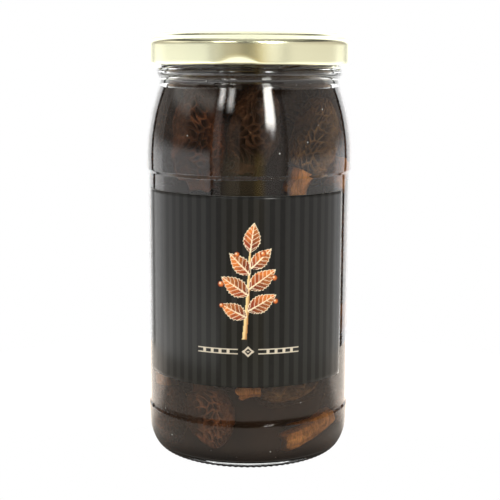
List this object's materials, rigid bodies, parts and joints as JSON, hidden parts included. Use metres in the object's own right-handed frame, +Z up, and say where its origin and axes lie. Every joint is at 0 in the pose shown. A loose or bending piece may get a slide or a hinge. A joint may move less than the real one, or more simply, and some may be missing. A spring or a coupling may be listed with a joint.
{
  "type": "glass jar of preserved black morels",
  "caption": "Filled twist-off glass jar: rounded shoulder, recessed panel with a dark striped label, pale gold lug lid, dark morels packed in juice.",
  "frame": {"origin": "centre of the foot ring's plane, on the jar's axis", "axes": "+Z up along the jar's axis; the label's front faces -Y; +X to the viewer's right"},
  "size_m": [0.068, 0.068, 0.1382],
  "materials": {
    "glass": "polished",
    "lid_metal": "gloss",
    "sealing_compound": "satin",
    "label_paper": "satin",
    "juice": "gloss",
    "morel_flesh": "satin"
  },
  "bodies": {
    "jar": {"jar_glass": "glass", "label": "label_paper", "juice": "juice", "morel_01": "morel_flesh", "morel_02": "morel_flesh", "morel_03": "morel_flesh", "morel_04": "morel_flesh", "morel_05": "morel_flesh", "morel_06": "morel_flesh", "morel_07": "morel_flesh", "morel_08": "morel_flesh", "morel_09": "morel_flesh", "morel_10": "morel_flesh", "morel_11": "morel_flesh", "morel_12": "morel_flesh", "morel_13": "morel_flesh", "morel_14": "morel_flesh", "morel_15": "morel_flesh", "morel_16": "morel_flesh", "morel_17": "morel_flesh", "morel_18": "morel_flesh", "morel_19": "morel_flesh", "morel_20": "morel_flesh", "morel_21": "morel_flesh"},
    "seal": {"lid_seal": "sealing_compound"},
    "lid": {"lid": "lid_metal"}
  },
  "joints": [
    {"name": "lid_rise", "type": "slide", "parent": "jar", "child": "seal", "axis": [0, 0, 1], "range_m": [0, 0.0027]},
    {"name": "lid_twist", "type": "hinge", "parent": "seal", "child": "lid", "pos_m": [0, 0, 0.1332], "axis": [0, 0, 1], "range_deg": [0, 60]}
  ],
  "couplings": [
    {"joint": "lid_rise", "follows": "lid_twist", "m_per_rad": 0.0025465}
  ]
}
